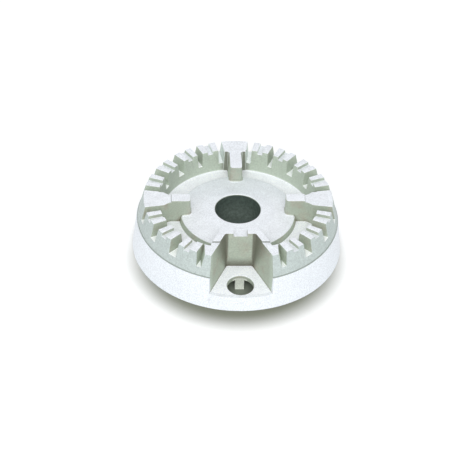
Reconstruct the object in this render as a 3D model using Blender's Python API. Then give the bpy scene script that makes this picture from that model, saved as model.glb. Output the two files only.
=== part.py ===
# Flame-spreader crown of a gas hob burner: one aluminium casting.
# Metres, +Z up. The crown stands on the foot of its skirt, on the plane Z = 0, with its axis
# on Z. The notch for the spark electrode faces -Y and the T-shaped boss faces +Y.

import bpy
import bmesh
from math import acos, cos, pi, radians, sin, tan

# Roundness of turned faces and of small round corners
SEGMENTS = 112
ARC_STEPS = 3

# Skirt: the turned outer wall that the crown stands on
SKIRT_TOP_RADIUS = 0.0379
SKIRT_FLARE = 0.0008
SKIRT_HEIGHT = 0.0125
SKIRT_WALL = 0.0018
SKIRT_CHAMFER = 0.0003

# Port ring: the coned wall above the skirt that carries the teeth, and the flat seat on its top
LEDGE_WIDTH = 0.0004
LEDGE_STEP = 0.0004
CONE_WIDTH = 0.0025
SEAT_HEIGHT = 0.0218
SEAT_WIDTH = 0.0054
RING_INNER_LEAN = 0.0010
RING_POCKET_WIDTH = 0.0040
RING_POCKET_ROOF = 0.0136

# Trough between the port ring and the central disc, and the web under them both
TROUGH_WIDTH = 0.0073
TROUGH_HEIGHT = 0.0130
TROUGH_FILLET = 0.0006
WEB_WALL = 0.0022

# Central disc, a very low cone that rises towards the throat
DISC_EDGE_HEIGHT = 0.0155
DISC_CENTRE_HEIGHT = 0.0170
DISC_EDGE_DRAFT = 0.0003
DISC_EDGE_ROUND = 0.0005
DISC_POCKET_INSET = 0.0024
DISC_POCKET_ROOF = 0.0122

# Throat: the tube that brings the gas and air mixture up through the disc
THROAT_RADIUS = 0.00842
THROAT_WALL = 0.0026
THROAT_FOOT_HEIGHT = 0.0010
THROAT_CHAMFER = 0.0003

# Teeth: pairs of radial teeth in each quadrant, counted in degrees from the nearest side boss
PAIR_ANGLES = (19.3, 37.1, 55.4, 71.7)
FRONT_PAIRS = 3
TOOTH_ANGLE = 4.2
LAST_TOOTH_EXTRA = 0.6
LAST_TOOTH_DRAFT = 0.9
SLOT_ANGLE = 3.8
SLOT_DEPTH = 0.0013
GAP_FLOOR_HEIGHT = 0.0162
GAP_DRAFT_ANGLE = 0.4

# Bosses: two at the sides and one at the back, each with a raised head that centres the cap
BOSS_HALF_ANGLE = 8.2
BOSS_DRAFT = 0.0004
BOSS_NECK_HALF_WIDTH = 0.0022
BOSS_SHOULDER_OVERLAP = 0.0006
BOSS_TRIM = 0.0004
BOSS_SHOULDER_STEPS = 6
T_BAR_PROUD = 0.0002
HEAD_REACH = 0.0034
HEAD_LENGTH = 0.0070
HEAD_RAISE = 0.00055
HEAD_CORNER_RADIUS = 0.0010

# Electrode notch: flared outwards, open to the front and the top
NOTCH_BACK_HALF_WIDTH = 0.0047
NOTCH_SIDE_ANGLE = 25.0
NOTCH_DRAFT_ANGLE = 3.5
NOTCH_CORNER_RADIUS = 0.0010
NOTCH_FLOOR_BACK_HEIGHT = 0.0071
NOTCH_FLOOR_FALL = 0.0720
NOTCH_FLOOR_WALL = 0.0018

# Wall round the notch, which stands above the seat as the heads do, and the tooth beside it
NOTCH_SIDE_WALL = 0.0026
NOTCH_BACK_WALL = 0.0043
NOTCH_WALL_CORNER_RADIUS = 0.0030
NOTCH_STEP_INSET = 0.0018
NOTCH_TOOTH_WIDTH = 0.0022
NOTCH_TOOTH_LEAN = 14.0
IGNITION_SLOT_HALF_WIDTH = 0.0026
IGNITION_SLOT_DEPTH = 0.0013
IGNITION_SLOT_FLARE = 0.0013

# Hole for the electrode in the floor of the notch, and the locating rib under that floor
ELECTRODE_HOLE_RADIUS = 0.0049
ELECTRODE_HOLE_CLEARANCE = 0.00015
ELECTRODE_HOLE_CHAMFER = 0.0004
ELECTRODE_HOLE_STEPS = 32
RIB_HALF_WIDTH = 0.00165
RIB_LENGTH = 0.0060
RIB_SETBACK = 0.0002
RIB_FOOT_HEIGHT = 0.0002

# How far a cutter or a joined block runs past the face that it meets
OVERRUN = 0.0010

ALUMINIUM_COLOUR = (0.78, 0.79, 0.80, 1.0)

# Radii and heights that follow from the sizes above
SKIRT_FOOT_RADIUS = SKIRT_TOP_RADIUS + SKIRT_FLARE
LEDGE_RADIUS = SKIRT_TOP_RADIUS - LEDGE_WIDTH
CONE_FOOT_HEIGHT = SKIRT_HEIGHT + LEDGE_STEP
SEAT_OUTER_RADIUS = LEDGE_RADIUS - CONE_WIDTH
SEAT_INNER_RADIUS = SEAT_OUTER_RADIUS - SEAT_WIDTH
RING_FOOT_RADIUS = SEAT_INNER_RADIUS - RING_INNER_LEAN
DISC_RADIUS = RING_FOOT_RADIUS - TROUGH_WIDTH
HEAD_OUTER_RADIUS = DISC_RADIUS + HEAD_REACH
NOTCH_BACK = DISC_RADIUS
NOTCH_STEP_RADIUS = SEAT_INNER_RADIUS - NOTCH_STEP_INSET
CASTING_TOP = SEAT_HEIGHT + HEAD_RAISE


def remove_old_objects():
    for old in list(bpy.data.objects):
        bpy.data.objects.remove(old, do_unlink=True)


def cast_aluminium():
    material = bpy.data.materials.new("cast_aluminium")
    material.use_nodes = True
    shader = material.node_tree.nodes["Principled BSDF"]
    shader.inputs["Base Color"].default_value = ALUMINIUM_COLOUR
    shader.inputs["Metallic"].default_value = 0.85
    shader.inputs["Roughness"].default_value = 0.48
    return material


def object_from(bm, name):
    bmesh.ops.remove_doubles(bm, verts=bm.verts, dist=0.000001)
    bmesh.ops.recalc_face_normals(bm, faces=bm.faces)
    mesh = bpy.data.meshes.new(name)
    bm.to_mesh(mesh)
    bm.free()
    made = bpy.data.objects.new(name, mesh)
    bpy.context.scene.collection.objects.link(made)
    return made


def polar(radius, degrees):
    return (radius * cos(radians(degrees)), radius * sin(radians(degrees)))


def corner_arc(centre, radius, start, end, steps=ARC_STEPS):
    # Points along a round corner, from the start angle to the end angle in degrees.
    turned = [start + (end - start) * step / steps for step in range(steps + 1)]
    return [(centre[0] + radius * cos(radians(a)), centre[1] + radius * sin(radians(a))) for a in turned]


def add_turned(bm, profile, steps):
    # A closed outline of (radius, height) points, turned once round the Z axis.
    points = [bm.verts.new((radius, 0.0, height)) for radius, height in profile]
    edges = [bm.edges.new((points[i - 1], points[i])) for i in range(len(points))]
    bmesh.ops.spin(bm, geom=points + edges, cent=(0, 0, 0), axis=(0, 0, 1), angle=2 * pi,
                   steps=steps, use_merge=True)


def add_loft(bm, lower, upper):
    # A closed block between two outlines with the same number of (x, y, z) points.
    below = [bm.verts.new(point) for point in lower]
    above = [bm.verts.new(point) for point in upper]
    for i in range(len(below)):
        bm.faces.new((below[i - 1], below[i], above[i], above[i - 1]))
    bm.faces.new(below[::-1])
    bm.faces.new(above)


def at_height(outline, height):
    return [(x, y, height) for x, y in outline]


def turned_outline(outline, quarter_turns):
    # An outline drawn along +X, turned to the left in steps of 90 degrees.
    c, s = ((1, 0), (0, 1), (-1, 0), (0, -1))[quarter_turns]
    return [(c * x - s * y, s * x + c * y) for x, y in outline]


def mirrored(side):
    # Closes a right-hand side, listed from the back to the front, with its mirror image.
    return list(side) + [(-x, y) for x, y in reversed(side)]


def coned_radius(radius_at_seat, foot_radius, foot_height, height):
    # Radius of a coned face of the port ring at a height, from its radii at the seat and the foot.
    slope = (foot_radius - radius_at_seat) / (SEAT_HEIGHT - foot_height)
    return radius_at_seat + (SEAT_HEIGHT - height) * slope


def crown_section():
    # The section of the casting to the right of its axis, from the foot of the skirt upwards.
    # The port ring is left tall here, and its seat is turned down later.
    blank_top = CASTING_TOP + OVERRUN / 2
    outer_blank = coned_radius(SEAT_OUTER_RADIUS, LEDGE_RADIUS, CONE_FOOT_HEIGHT, blank_top)
    inner_blank = coned_radius(SEAT_INNER_RADIUS, RING_FOOT_RADIUS, TROUGH_HEIGHT, blank_top)
    web_under = TROUGH_HEIGHT - WEB_WALL
    pocket_outer = LEDGE_RADIUS - SKIRT_WALL
    pocket_inner = pocket_outer - RING_POCKET_WIDTH
    disc_pocket_radius = DISC_RADIUS - DISC_POCKET_INSET
    disc_foot = DISC_RADIUS + DISC_EDGE_DRAFT
    tube_radius = THROAT_RADIUS + THROAT_WALL
    fillet_height = TROUGH_HEIGHT + TROUGH_FILLET
    disc_corner = (DISC_RADIUS - DISC_EDGE_ROUND, DISC_EDGE_HEIGHT - DISC_EDGE_ROUND)
    return [
        (SKIRT_FOOT_RADIUS - SKIRT_CHAMFER, 0.0),
        (SKIRT_FOOT_RADIUS, SKIRT_CHAMFER),
        (SKIRT_TOP_RADIUS, SKIRT_HEIGHT),
        (LEDGE_RADIUS, SKIRT_HEIGHT),
        (LEDGE_RADIUS, CONE_FOOT_HEIGHT),
        (outer_blank, blank_top),
        (inner_blank, blank_top),
        *corner_arc((RING_FOOT_RADIUS - TROUGH_FILLET, fillet_height), TROUGH_FILLET, 0, -90),
        *corner_arc((disc_foot + TROUGH_FILLET, fillet_height), TROUGH_FILLET, 270, 180),
        *corner_arc(disc_corner, DISC_EDGE_ROUND, 0, 90),
        (THROAT_RADIUS + THROAT_CHAMFER, DISC_CENTRE_HEIGHT),
        (THROAT_RADIUS, DISC_CENTRE_HEIGHT - THROAT_CHAMFER),
        (THROAT_RADIUS, THROAT_FOOT_HEIGHT + THROAT_CHAMFER),
        (THROAT_RADIUS + THROAT_CHAMFER, THROAT_FOOT_HEIGHT),
        (tube_radius - THROAT_CHAMFER, THROAT_FOOT_HEIGHT),
        (tube_radius, THROAT_FOOT_HEIGHT + THROAT_CHAMFER),
        (tube_radius, DISC_POCKET_ROOF),
        (disc_pocket_radius, DISC_POCKET_ROOF),
        (disc_pocket_radius, web_under),
        (pocket_inner, web_under),
        (pocket_inner, RING_POCKET_ROOF),
        (pocket_outer, RING_POCKET_ROOF),
        (pocket_outer, SKIRT_HEIGHT),
        (SKIRT_FOOT_RADIUS - SKIRT_WALL, SKIRT_CHAMFER),
        (SKIRT_FOOT_RADIUS - SKIRT_WALL + SKIRT_CHAMFER, 0.0),
    ]


def boss_cast_width(radius):
    # Half width at the port ring, a little wide: the gaps beside the boss trim it.
    return radius * tan(radians(BOSS_HALF_ANGLE)) + BOSS_TRIM


def side_boss_shoulder():
    # From the neck at the head the flanks sweep out to the full width at the port ring.
    wide = RING_FOOT_RADIUS + BOSS_SHOULDER_OVERLAP
    growth = boss_cast_width(wide) - BOSS_NECK_HALF_WIDTH
    points = []
    for step in range(BOSS_SHOULDER_STEPS + 1):
        share = step / BOSS_SHOULDER_STEPS
        radius = HEAD_OUTER_RADIUS + (wide - HEAD_OUTER_RADIUS) * share
        points.append((radius, BOSS_NECK_HALF_WIDTH + growth * (1 - cos(pi * share)) / 2))
    return points


def t_boss_shoulder():
    # The stem runs straight into a bar that stands just proud of the port ring.
    bar = RING_FOOT_RADIUS - T_BAR_PROUD
    return [(bar, BOSS_NECK_HALF_WIDTH), (bar, boss_cast_width(bar))]


def boss_outline(shoulder, grown):
    # A boss drawn along +X, from its rounded inner end to its root inside the port ring.
    root = SEAT_INNER_RADIUS + OVERRUN
    inner_end = HEAD_OUTER_RADIUS - HEAD_LENGTH
    centre = (inner_end + HEAD_CORNER_RADIUS, BOSS_NECK_HALF_WIDTH - HEAD_CORNER_RADIUS)
    side = corner_arc(centre, HEAD_CORNER_RADIUS + grown, 180, 90)
    side += [(radius, half + grown) for radius, half in shoulder]
    side.append((root, boss_cast_width(root) + grown))
    return side + [(x, -y) for x, y in reversed(side)]


def bosses():
    # They stand on the disc and on the trough, and reach down into the web but not through it.
    root = (TROUGH_HEIGHT + DISC_POCKET_ROOF) / 2
    bm = bmesh.new()
    for turns, shoulder in ((0, side_boss_shoulder()), (1, t_boss_shoulder()), (2, side_boss_shoulder())):
        lower = turned_outline(boss_outline(shoulder, BOSS_DRAFT), turns)
        upper = turned_outline(boss_outline(shoulder, 0.0), turns)
        add_loft(bm, at_height(lower, root), at_height(upper, CASTING_TOP))
    return object_from(bm, "bosses")


def notch_floor(y):
    # The floor falls a little towards the outside, where y is most negative.
    return NOTCH_FLOOR_BACK_HEIGHT + (y + NOTCH_BACK) * NOTCH_FLOOR_FALL


def notch_half_width(distance, height):
    # Half width of the notch at a distance in front of the axis, with its draft.
    draft = (height - NOTCH_FLOOR_BACK_HEIGHT) * tan(radians(NOTCH_DRAFT_ANGLE))
    return NOTCH_BACK_HALF_WIDTH + draft + (distance - NOTCH_BACK) * tan(radians(NOTCH_SIDE_ANGLE))


def slanted_corner(half_width, back, radius, steps):
    # Rounds the corner between a back edge and a side that slants outwards to the front.
    slant = radians(NOTCH_SIDE_ANGLE)
    inset = radius * (1 - sin(slant)) / cos(slant)
    return corner_arc((half_width - inset, -back - radius), radius, 90, NOTCH_SIDE_ANGLE, steps)


def notch_outline(height):
    reach = SKIRT_FOOT_RADIUS + OVERRUN
    side = slanted_corner(notch_half_width(NOTCH_BACK, height), NOTCH_BACK, NOTCH_CORNER_RADIUS, ARC_STEPS)
    side.append((notch_half_width(reach, height), -reach))
    return mirrored(side)


def notch_cutter():
    top = CASTING_TOP + OVERRUN
    lower = [(x, y, notch_floor(y)) for x, y in notch_outline(NOTCH_FLOOR_BACK_HEIGHT)]
    bm = bmesh.new()
    add_loft(bm, lower, at_height(notch_outline(top), top))
    return object_from(bm, "notch_cutter")


def meeting_angle(offset, reach):
    # Angle from -Y at which a side of the notch, this far off the axis, leaves a circle.
    slope = tan(radians(NOTCH_SIDE_ANGLE))
    square = 1 + slope * slope
    distance = ((square * reach * reach - offset * offset) ** 0.5 - offset * slope) / square
    return acos(distance / reach)


def notch_wall_outline(grown, reach):
    # The outside of the wall round the notch, ending on an arc inside the skirt or the port ring.
    steps = 2 * ARC_STEPS
    slant = radians(NOTCH_SIDE_ANGLE)
    back = NOTCH_BACK - NOTCH_BACK_WALL - grown
    half = notch_half_width(back, CASTING_TOP) + (NOTCH_SIDE_WALL + grown) / cos(slant)
    side = slanted_corner(half, back, NOTCH_WALL_CORNER_RADIUS, steps)
    widest = meeting_angle(half - back * tan(slant), reach)
    for step in range(steps):
        angle = widest * (1 - step / steps)
        side.append((reach * sin(angle), -reach * cos(angle)))
    return mirrored(side)


def notch_wall():
    # Walls, back and floor of the notch in one block, out of which the notch is cut. Its ends lie
    # inside the skirt and the port ring at every height, so that no slit is left beside them.
    lower = notch_wall_outline(BOSS_DRAFT, SKIRT_TOP_RADIUS - SKIRT_WALL / 4)
    upper = notch_wall_outline(0.0, SEAT_OUTER_RADIUS - OVERRUN / 2)
    bm = bmesh.new()
    under = [(x, y, notch_floor(y) - NOTCH_FLOOR_WALL) for x, y in lower]
    add_loft(bm, under, at_height(upper, CASTING_TOP))
    return object_from(bm, "notch_wall")


def seat_reach(angle):
    # How far in the seat reaches: as far as the heads on the bosses, less far on the notch wall.
    from_boss = min(abs(angle - boss) for boss in (0, 90, 180, 360))
    boss_limit = (BOSS_HALF_ANGLE + pair_edges(PAIR_ANGLES[0])[0]) / 2
    return HEAD_OUTER_RADIUS if from_boss < boss_limit else NOTCH_STEP_RADIUS


def seat_cutter():
    # The seat that carries the cap, turned down all round the port ring. Its corners lie half a
    # step away from those of the ring, so that no two edges meet by accident.
    outer = SKIRT_FOOT_RADIUS + OVERRUN
    angles = [360 * (step + 0.5) / SEGMENTS for step in range(SEGMENTS)]
    bm = bmesh.new()
    inside = [bm.verts.new((*polar(seat_reach(angle), angle), SEAT_HEIGHT)) for angle in angles]
    outside = [bm.verts.new((*polar(outer, angle), SEAT_HEIGHT)) for angle in angles]
    for i in range(SEGMENTS):
        bm.faces.new((inside[i - 1], outside[i - 1], outside[i], inside[i]))
    raised = bmesh.ops.extrude_face_region(bm, geom=bm.faces[:])
    points = [item for item in raised["geom"] if isinstance(item, bmesh.types.BMVert)]
    bmesh.ops.translate(bm, verts=points, vec=(0, 0, HEAD_RAISE + OVERRUN))
    return object_from(bm, "seat_cutter")


def quadrants():
    # Each quadrant as its side (right +1, left -1), its end (back +1, front -1) and its pairs.
    back = [(side, 1, PAIR_ANGLES) for side in (1, -1)]
    front = [(side, -1, PAIR_ANGLES[:FRONT_PAIRS]) for side in (1, -1)]
    return back + front


def pair_edges(centre):
    # Where a pair of teeth starts and ends, counted from the nearest side boss.
    half = TOOTH_ANGLE + SLOT_ANGLE / 2
    return [centre - half, centre + half]


def add_radial_cut(bm, side, end, angles, floor, draft):
    # A cut through the port ring between two angles from the nearest side boss.
    inner = RING_FOOT_RADIUS - OVERRUN
    outer = SKIRT_FOOT_RADIUS + OVERRUN
    first, last = sorted(end * angle if side > 0 else 180 - end * angle for angle in angles)

    def outline(start, stop):
        return [polar(inner, start), polar(outer, start), polar(outer, stop), polar(inner, stop)]

    add_loft(bm, at_height(outline(first + draft, last - draft), floor),
             at_height(outline(first, last), CASTING_TOP + OVERRUN))


def add_notch_gap(bm, side, last_tooth):
    # Beside the notch the deep gap has one radial face and one that runs along the Y axis, and
    # both lean towards each other on the way down.
    seat_angle = meeting_angle(notch_half_width(0.0, SEAT_HEIGHT), SEAT_OUTER_RADIUS)
    seat_half = SEAT_OUTER_RADIUS * sin(seat_angle) + NOTCH_TOOTH_WIDTH
    reach = SKIRT_FOOT_RADIUS + OVERRUN

    def outline(height):
        depth = SEAT_HEIGHT - height
        half = seat_half + depth * tan(radians(NOTCH_TOOTH_LEAN))
        angle = last_tooth + LAST_TOOTH_DRAFT * depth / (SEAT_HEIGHT - GAP_FLOOR_HEIGHT)
        along, down = polar(reach, angle)
        return [
            (side * half, -half * tan(radians(angle))),
            (side * half, -((reach * reach - half * half) ** 0.5)),
            (side * along, -down),
        ]

    top = CASTING_TOP + OVERRUN
    add_loft(bm, at_height(outline(GAP_FLOOR_HEIGHT), GAP_FLOOR_HEIGHT), at_height(outline(top), top))


def deep_gap_cutter():
    # Deep gaps lie between the pairs, and between the outer pairs and the bosses.
    bm = bmesh.new()
    for side, end, pairs in quadrants():
        edges = [BOSS_HALF_ANGLE]
        for centre in pairs:
            edges += pair_edges(centre)
        if end > 0:
            edges.append(90 - BOSS_HALF_ANGLE)
        else:
            add_notch_gap(bm, side, edges.pop() + LAST_TOOTH_EXTRA)
        for angles in zip(edges[0::2], edges[1::2]):
            add_radial_cut(bm, side, end, angles, GAP_FLOOR_HEIGHT, GAP_DRAFT_ANGLE)
    return object_from(bm, "deep_gap_cutter")


def slot_cutter():
    # A shallow slot parts the two teeth of each pair.
    bm = bmesh.new()
    for side, end, pairs in quadrants():
        for centre in pairs:
            angles = (centre - SLOT_ANGLE / 2, centre + SLOT_ANGLE / 2)
            add_radial_cut(bm, side, end, angles, SEAT_HEIGHT - SLOT_DEPTH, 0.0)
    return object_from(bm, "slot_cutter")


def ignition_slot_cutter():
    # A shallow port through the back wall of the notch, flared where it opens over the disc.
    opening = -(NOTCH_BACK - NOTCH_BACK_WALL)
    centre = (IGNITION_SLOT_HALF_WIDTH + IGNITION_SLOT_FLARE, opening - IGNITION_SLOT_FLARE)
    side = [(centre[0], opening + OVERRUN)]
    side += corner_arc(centre, IGNITION_SLOT_FLARE, 90, 180)
    side.append((IGNITION_SLOT_HALF_WIDTH, -NOTCH_BACK - OVERRUN))
    outline = mirrored(side)
    floor = CASTING_TOP - IGNITION_SLOT_DEPTH
    bm = bmesh.new()
    add_loft(bm, at_height(outline, floor), at_height(outline, CASTING_TOP + OVERRUN))
    return object_from(bm, "ignition_slot_cutter")


def skirt_inner_radius(height):
    share = (height - SKIRT_CHAMFER) / (SKIRT_HEIGHT - SKIRT_CHAMFER)
    return SKIRT_FOOT_RADIUS - SKIRT_WALL - share * (SKIRT_FOOT_RADIUS - LEDGE_RADIUS)


def electrode_hole_centre():
    # The hole stays just clear of the inside of the skirt below the floor of the notch.
    under = notch_floor(-SKIRT_FOOT_RADIUS + SKIRT_WALL) - NOTCH_FLOOR_WALL
    return skirt_inner_radius(under) - ELECTRODE_HOLE_CLEARANCE - ELECTRODE_HOLE_RADIUS


def electrode_hole_cutter():
    # A chamfered hole, its mouth sloping with the floor of the notch.
    centre = electrode_hole_centre()
    mouth = notch_floor(-centre)
    chamfer = ELECTRODE_HOLE_CHAMFER
    bm = bmesh.new()
    add_turned(bm, [
        (0.0, mouth - NOTCH_FLOOR_WALL - OVERRUN),
        (ELECTRODE_HOLE_RADIUS, mouth - NOTCH_FLOOR_WALL - OVERRUN),
        (ELECTRODE_HOLE_RADIUS, mouth - chamfer),
        (ELECTRODE_HOLE_RADIUS + 2 * chamfer, mouth + chamfer),
        (0.0, mouth + chamfer),
    ], ELECTRODE_HOLE_STEPS)
    for vert in bm.verts:
        vert.co.z += vert.co.y * NOTCH_FLOOR_FALL
        vert.co.y -= centre
    return object_from(bm, "electrode_hole_cutter")


def locating_rib():
    # Under the floor of the notch, behind the hole: it finds the slot in the burner cup.
    front = ELECTRODE_HOLE_RADIUS + RIB_SETBACK - electrode_hole_centre()
    back = front + RIB_LENGTH
    outline = mirrored([(RIB_HALF_WIDTH, back), (RIB_HALF_WIDTH, front)])
    root = notch_floor(front) - NOTCH_FLOOR_WALL / 2
    bm = bmesh.new()
    add_loft(bm, at_height(outline, RIB_FOOT_HEIGHT), at_height(outline, root))
    return object_from(bm, "locating_rib")


def combine(body, other, operation):
    other.hide_render = True
    other.display_type = "WIRE"
    step = body.modifiers.new(other.name, "BOOLEAN")
    step.operation = operation
    step.solver = "EXACT"
    step.object = other


def burner_crown():
    bm = bmesh.new()
    add_turned(bm, crown_section(), SEGMENTS)
    crown = object_from(bm, "burner_crown")
    crown.data.materials.append(cast_aluminium())
    combine(crown, bosses(), "UNION")
    combine(crown, notch_wall(), "UNION")
    combine(crown, seat_cutter(), "DIFFERENCE")
    combine(crown, deep_gap_cutter(), "DIFFERENCE")
    combine(crown, slot_cutter(), "DIFFERENCE")
    combine(crown, notch_cutter(), "DIFFERENCE")
    combine(crown, ignition_slot_cutter(), "DIFFERENCE")
    combine(crown, electrode_hole_cutter(), "DIFFERENCE")
    combine(crown, locating_rib(), "UNION")
    crown.data.shade_smooth()
    crown.data.set_sharp_from_angle(angle=radians(25))


remove_old_objects()
burner_crown()
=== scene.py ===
# Looks of the burner crown: one cast and turned aluminium piece on a pale table.
import bpy
import bmesh
from math import acos, atan2, cos, degrees, hypot, pi, radians, sin, tan
from mathutils import Euler, Matrix, Vector


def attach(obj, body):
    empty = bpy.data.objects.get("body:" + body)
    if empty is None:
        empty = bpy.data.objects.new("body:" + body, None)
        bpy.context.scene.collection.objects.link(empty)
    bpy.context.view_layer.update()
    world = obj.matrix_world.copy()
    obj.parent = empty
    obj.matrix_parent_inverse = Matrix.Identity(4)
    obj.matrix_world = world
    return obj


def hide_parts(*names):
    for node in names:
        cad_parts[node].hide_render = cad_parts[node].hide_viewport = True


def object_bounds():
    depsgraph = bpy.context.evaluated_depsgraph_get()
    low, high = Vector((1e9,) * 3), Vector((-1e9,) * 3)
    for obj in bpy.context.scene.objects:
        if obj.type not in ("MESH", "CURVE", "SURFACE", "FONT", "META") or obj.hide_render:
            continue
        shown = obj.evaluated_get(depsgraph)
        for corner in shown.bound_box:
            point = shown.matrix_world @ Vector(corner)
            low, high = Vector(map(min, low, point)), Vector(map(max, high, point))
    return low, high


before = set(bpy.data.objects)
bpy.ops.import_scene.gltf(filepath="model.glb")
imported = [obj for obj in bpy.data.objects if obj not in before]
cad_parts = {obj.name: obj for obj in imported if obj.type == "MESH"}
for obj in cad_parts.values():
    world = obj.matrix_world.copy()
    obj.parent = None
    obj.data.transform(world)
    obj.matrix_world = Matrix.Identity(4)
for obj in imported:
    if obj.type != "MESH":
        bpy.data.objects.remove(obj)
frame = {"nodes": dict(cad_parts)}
cadLow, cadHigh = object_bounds()
scene = bpy.context.scene
print("frame loaded:", ", ".join(frame["nodes"]))


# Overall form. Metres, +Z up, throat on Z, notch towards -Y, T-shaped boss towards +Y.
form = {
    "footRadius": cadHigh[0] - 0.000001,    # the skirt stands on this circle
    "skirtFlare": 0.0013,                   # how much wider the skirt is at its foot
    "skirtHeight": 0.0128,
    "skirtWall": 0.0018,
    "ledge": 0.0004,                        # width and height of the step above the skirt
    "coneWidth": 0.0020,
    "seatHeight": 0.0218,
    "seatWidth": 0.0054,
    "ringLean": 0.0010,                     # how far the inside of the ring leans outwards
    "castingTop": cadHigh[2] - 0.000001,    # heads of the bosses and wall of the notch
    "gapFloor": 0.0162,
    "slotFloor": 0.0205,
    "troughHeight": 0.0130,
    "sharpAngle": 35.0,                     # edges sharper than this stay sharp in the shading
    "same": 0.00001,                        # two heights closer than this are one
    "weld": 0.000002,                       # corners closer than this are joined
    "past": 0.001,                          # how far cutters and searches reach beyond the casting
}
form["skirtTopRadius"] = form["footRadius"] - form["skirtFlare"]
form["ledgeRadius"] = form["skirtTopRadius"] - form["ledge"]
form["coneFoot"] = form["skirtHeight"] + form["ledge"]
form["seatOuter"] = form["ledgeRadius"] - form["coneWidth"]
form["seatInner"] = form["seatOuter"] - form["seatWidth"]
form["ringFoot"] = form["seatInner"] - form["ringLean"]


# Small helpers
def polar(radius, angle):
    return radius * cos(radians(angle)), radius * sin(radians(angle))


def arc(centre, radius, start, end, steps):
    turned = [radians(start + (end - start) * i / steps) for i in range(steps + 1)]
    return [(centre[0] + radius * cos(a), centre[1] + radius * sin(a)) for a in turned]


def mirrored(side):  # closes a right-hand side with its mirror image
    return list(side) + [(-x, y) for x, y in reversed(side)]


def pieceFrom(bm, name):
    mesh = bpy.data.meshes.new(name)
    bmesh.ops.recalc_face_normals(bm, faces=bm.faces)
    bm.to_mesh(mesh)
    bm.free()
    piece = bpy.data.objects.new(name, mesh)
    scene.collection.objects.link(piece)
    return piece


def combine(piece, tool, operation):  # applies one boolean and throws the tool away
    step = piece.modifiers.new("combine", "BOOLEAN")
    step.operation = operation
    step.solver = "EXACT"
    step.object = tool
    bpy.context.view_layer.update()
    made = bpy.data.meshes.new_from_object(piece.evaluated_get(bpy.context.evaluated_depsgraph_get()))
    piece.modifiers.remove(step)
    piece.data = made
    bpy.data.objects.remove(tool)


def stackedBlock(layers):  # a closed block through layers of corner places, lowest first
    bm = bmesh.new()
    foot = [bm.verts.new(place) for place in layers[0]]
    top = bm.faces.new(foot)
    for places in layers[1:]:
        top = bmesh.ops.extrude_discrete_faces(bm, faces=[top])["faces"][0]
        for loop, place in zip(top.loops, places):
            loop.vert.co = place
    bm.faces.new(foot[::-1])
    return bm, top


def uprightBlock(outline, low, high, name):
    layers = [[(x, y, z) for x, y in outline] for z in (low, high)]
    return pieceFrom(stackedBlock(layers)[0], name)


def roundEdges(bm, edges, size):
    bmesh.ops.bevel(bm, geom=edges, offset=size, offset_type="OFFSET", segments=2, profile=0.5,
                    affect="EDGES", clamp_overlap=True, material=-1)


# Teeth of the port ring, counted in degrees from the nearest side boss
teeth = {
    "pairs": (19.3, 37.1, 55.4, 71.7),
    "frontPairs": 3,
    "tooth": 4.2,
    "lastExtra": 0.6,      # the tooth beside the notch gap is a little wider
    "lastDraft": 0.9,      # degrees that this gap narrows by towards its floor, on the tooth's side
    "slot": 3.8,
    "draft": 0.4,          # how much narrower a gap is at its floor, on each side
    "boss": 8.2,           # half angle of a boss
    "widestStep": 1.6,     # about the widest facet of the round faces
    "extraSteps": 0.3,     # added before the number of facets is rounded
    "besideBlock": 0.6,    # degrees beside a boss in which the ring's inner edges stay sharp
    "notchSector": 66.5,   # the same from here on, up to the notch
    "levelFace": 0.9,      # least upward part of a level face's normal
    "closeAngle": 0.01,    # angles closer than this are one
    "edgeRound": 0.00022,
    # facets of the ring towards the notch, clear of the faces that are cut there later
    "notchFacets": (58.4, 59.6, 60.7, 63.3, 64.8, 66.1, 68.9, 70.1, 73.4, 76.5, 80.0, 83.5, 87.0),
}


def ringRadius(atSeat, atFoot, footHeight, height):
    return atSeat + (form["seatHeight"] - height) * (atFoot - atSeat) / (form["seatHeight"] - footHeight)


def outerRadius(height):
    return ringRadius(form["seatOuter"], form["ledgeRadius"], form["coneFoot"], height)


def innerRadius(height):
    return ringRadius(form["seatInner"], form["ringFoot"], form["troughHeight"], height)


# Disc, trough, throat and underside
core = {
    "discRadius": 0.0213,
    "discEdge": 0.0155,
    "discCentre": 0.0170,
    "discDraft": 0.0003,
    "discRound": 0.0005,
    "discFillet": 0.0006,
    "ringFillet": 0.0009,
    "webWall": 0.0022,
    "discPocketInset": 0.0024,
    "discPocketRoof": 0.0122,
    "ringPocketWidth": 0.0040,
    "ringPocketRoof": 0.0136,
    "throatRadius": 0.00842,
    "throatWall": 0.0026,
    "throatFoot": 0.0010,
    "throatRound": 0.0005,
    "footRound": 0.0003,
    "underRound": 0.0005,
    "skirtLean": 5,          # degrees, where the rounded corners meet the walls
    "ringLean": 4,
    "discLean": 8,
    "discSlope": 2,
    "coneLoop": 0.0011,      # extra corners along plain faces, for even facets
    "troughLoops": (0.0026, 0.0022),
    "discLoops": (0.06, 0.25, 0.5, 0.75, 0.94),
    "throatLoops": (0.0120, 0.0070),
    "edgeLoops": (-0.0007, -0.0004, -0.0002, 0.0, 0.0002, 0.0005),
}


def discHeight(radius):
    rise = core["discCentre"] - core["discEdge"]
    run = core["discRadius"] - core["discRound"] - core["throatRadius"] - core["throatRound"]
    return core["discEdge"] + rise * (core["discRadius"] - core["discRound"] - radius) / run


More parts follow.
